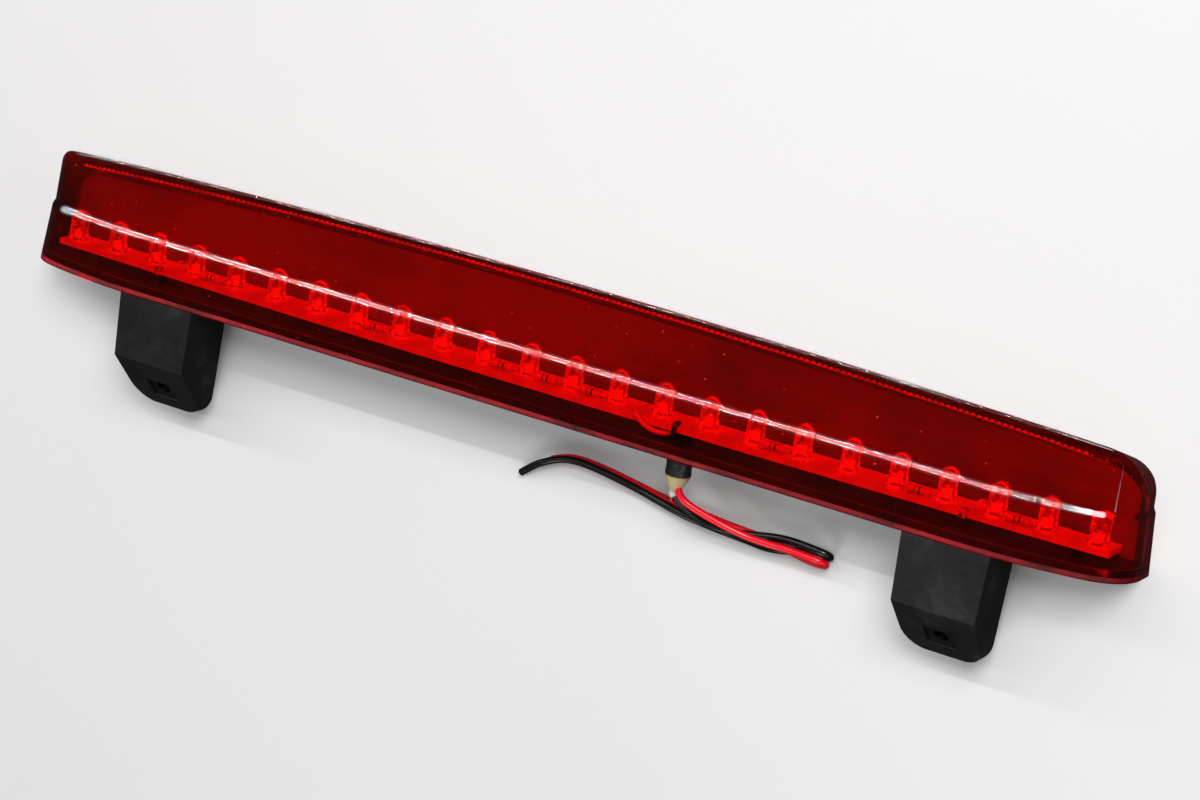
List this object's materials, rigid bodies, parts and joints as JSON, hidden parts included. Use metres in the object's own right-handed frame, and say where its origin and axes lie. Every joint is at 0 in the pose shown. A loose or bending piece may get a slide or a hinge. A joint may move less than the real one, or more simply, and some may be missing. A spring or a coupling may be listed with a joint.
{
  "type": "third brake light",
  "caption": "Long clear red lamp with a slanted, gently crowned lens, a row of LEDs on a board inside, two black mounting feet and two free leads.",
  "frame": {"origin": "centre of the lamp's box, on the flat back wall that it lies on, leads left out", "axes": "+X along the lamp; -Y is the way the light leaves, and +Y is where the feet point; +Z from the flat back wall to the curved front wall"},
  "size_m": [0.3344, 0.0704, 0.026],
  "materials": {
    "lens_red": "clear deep red acrylic, polished, with fine scuffs",
    "seal_black": "soft black sealing bead",
    "housing_black": "fine-grained black moulding",
    "nut_steel": "black-oxide steel",
    "board_white": "white solder mask on glass epoxy",
    "led_epoxy": "clear epoxy with a faint red tint",
    "resistor_tan": "lacquered body with colour bands and tinned leads",
    "boot_black": "satin black heat-shrink sleeve",
    "sealant_tan": "dried tan sealant",
    "wire_red": "glossy red insulation",
    "wire_black": "glossy black insulation"
  },
  "bodies": {
    "root": {"lens": "lens_red", "lens_seal_bead": "seal_black", "housing": "housing_black", "mounting_nuts": "nut_steel", "circuit_board": "board_white", "led_01": "led_epoxy", "led_02": "led_epoxy", "led_03": "led_epoxy", "led_04": "led_epoxy", "led_05": "led_epoxy", "led_06": "led_epoxy", "led_07": "led_epoxy", "led_08": "led_epoxy", "led_09": "led_epoxy", "led_10": "led_epoxy", "led_11": "led_epoxy", "led_12": "led_epoxy", "led_13": "led_epoxy", "led_14": "led_epoxy", "led_15": "led_epoxy", "led_16": "led_epoxy", "led_17": "led_epoxy", "led_18": "led_epoxy", "led_19": "led_epoxy", "led_20": "led_epoxy", "led_21": "led_epoxy", "led_22": "led_epoxy", "led_23": "led_epoxy", "led_24": "led_epoxy", "resistor_01": "resistor_tan", "resistor_02": "resistor_tan", "resistor_03": "resistor_tan", "resistor_04": "resistor_tan", "resistor_05": "resistor_tan", "resistor_06": "resistor_tan", "resistor_07": "resistor_tan", "resistor_08": "resistor_tan", "lead_boot": "boot_black", "boot_sealant": "sealant_tan", "red_lead": "wire_red", "black_lead": "wire_black", "red_pigtail": "wire_red", "black_pigtail": "wire_black"}
  },
  "joints": []
}
